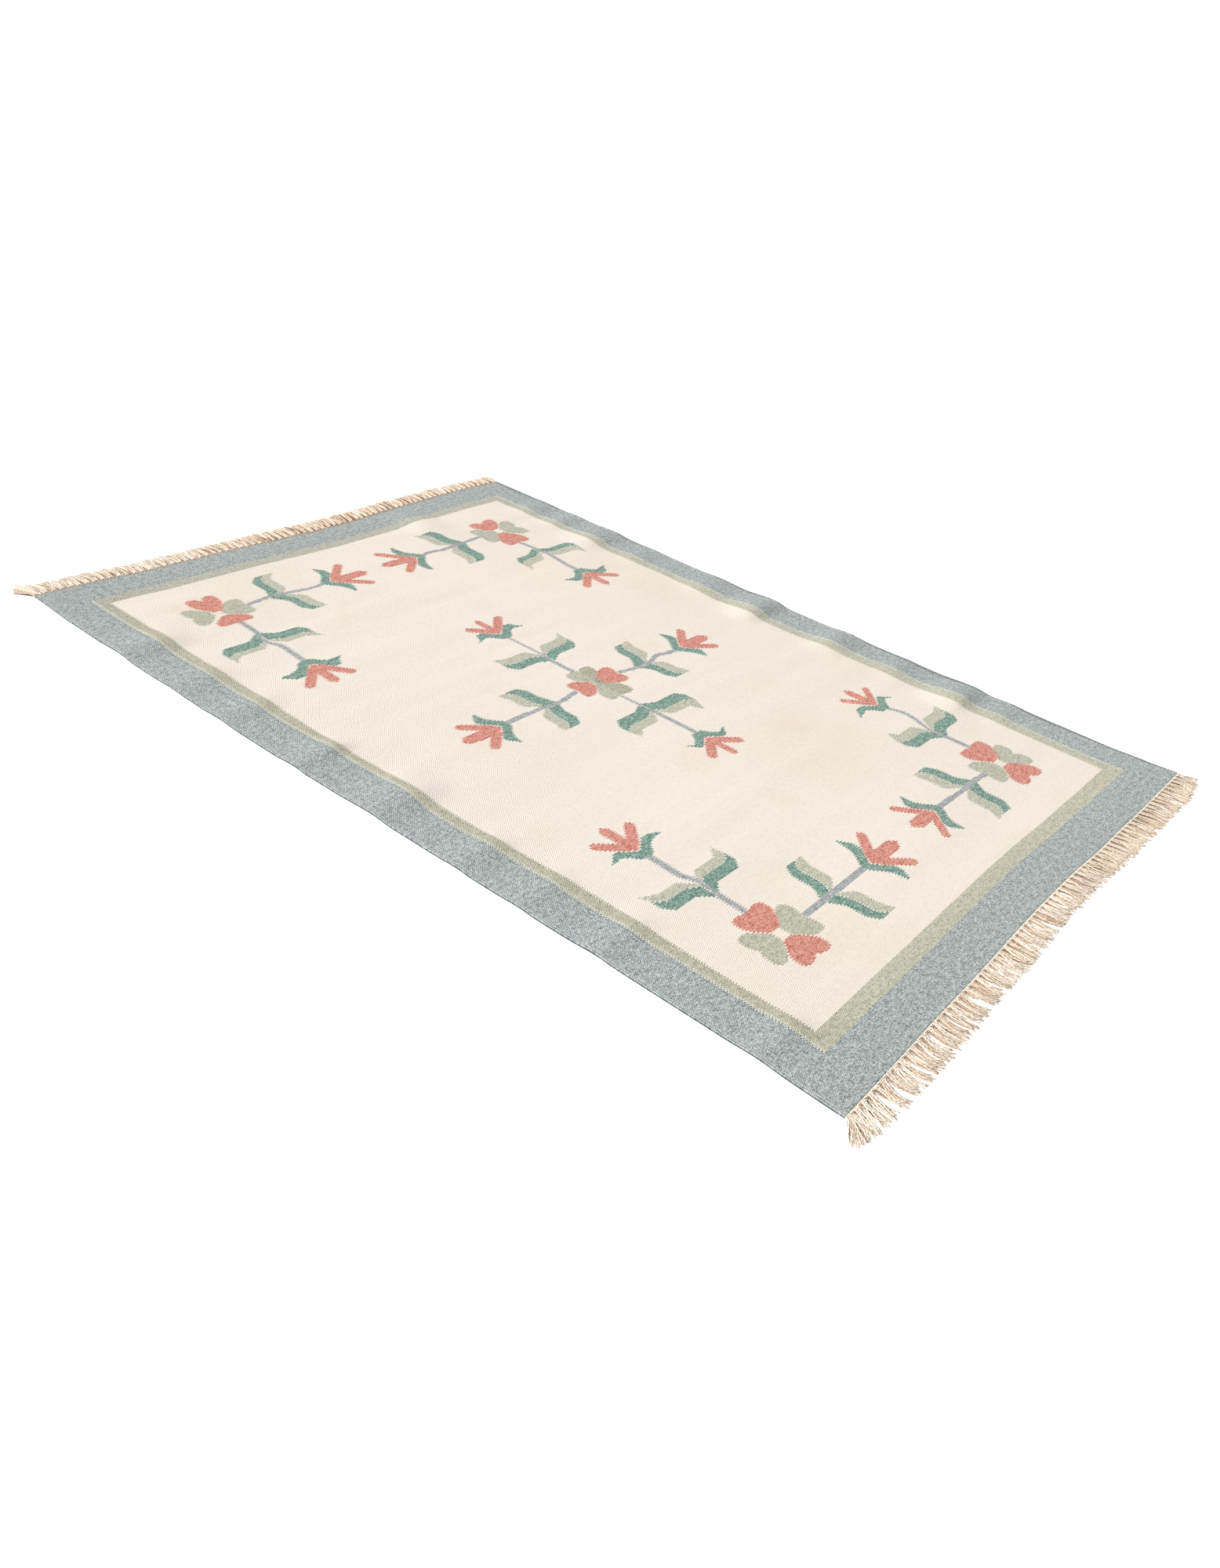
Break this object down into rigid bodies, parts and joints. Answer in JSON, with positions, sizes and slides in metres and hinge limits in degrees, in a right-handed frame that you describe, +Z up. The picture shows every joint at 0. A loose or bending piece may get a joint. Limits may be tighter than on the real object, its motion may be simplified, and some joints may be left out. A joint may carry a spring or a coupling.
{
  "type": "dhurrie rug",
  "caption": "Flat-woven wool rug lying flat, with low ripples along its long sides and a knotted yarn fringe at each end.",
  "frame": {"origin": "on the floor under the middle of the cloth, on its flat underside", "axes": "+X across the rug from its left side to its right, +Y along the warp from the near fringe to the far one, +Z up from the floor"},
  "size_m": [1.4541, 2.1335, 0.0152],
  "materials": {
    "cloth": "matt flat-woven wool, cream field in sage and heathered blue-grey borders",
    "fringe": "matt cream warp yarn, loosely twisted"
  },
  "bodies": {
    "root": {"woven_cloth": "cloth", "fringe_near": "fringe", "fringe_far": "fringe"}
  },
  "joints": []
}
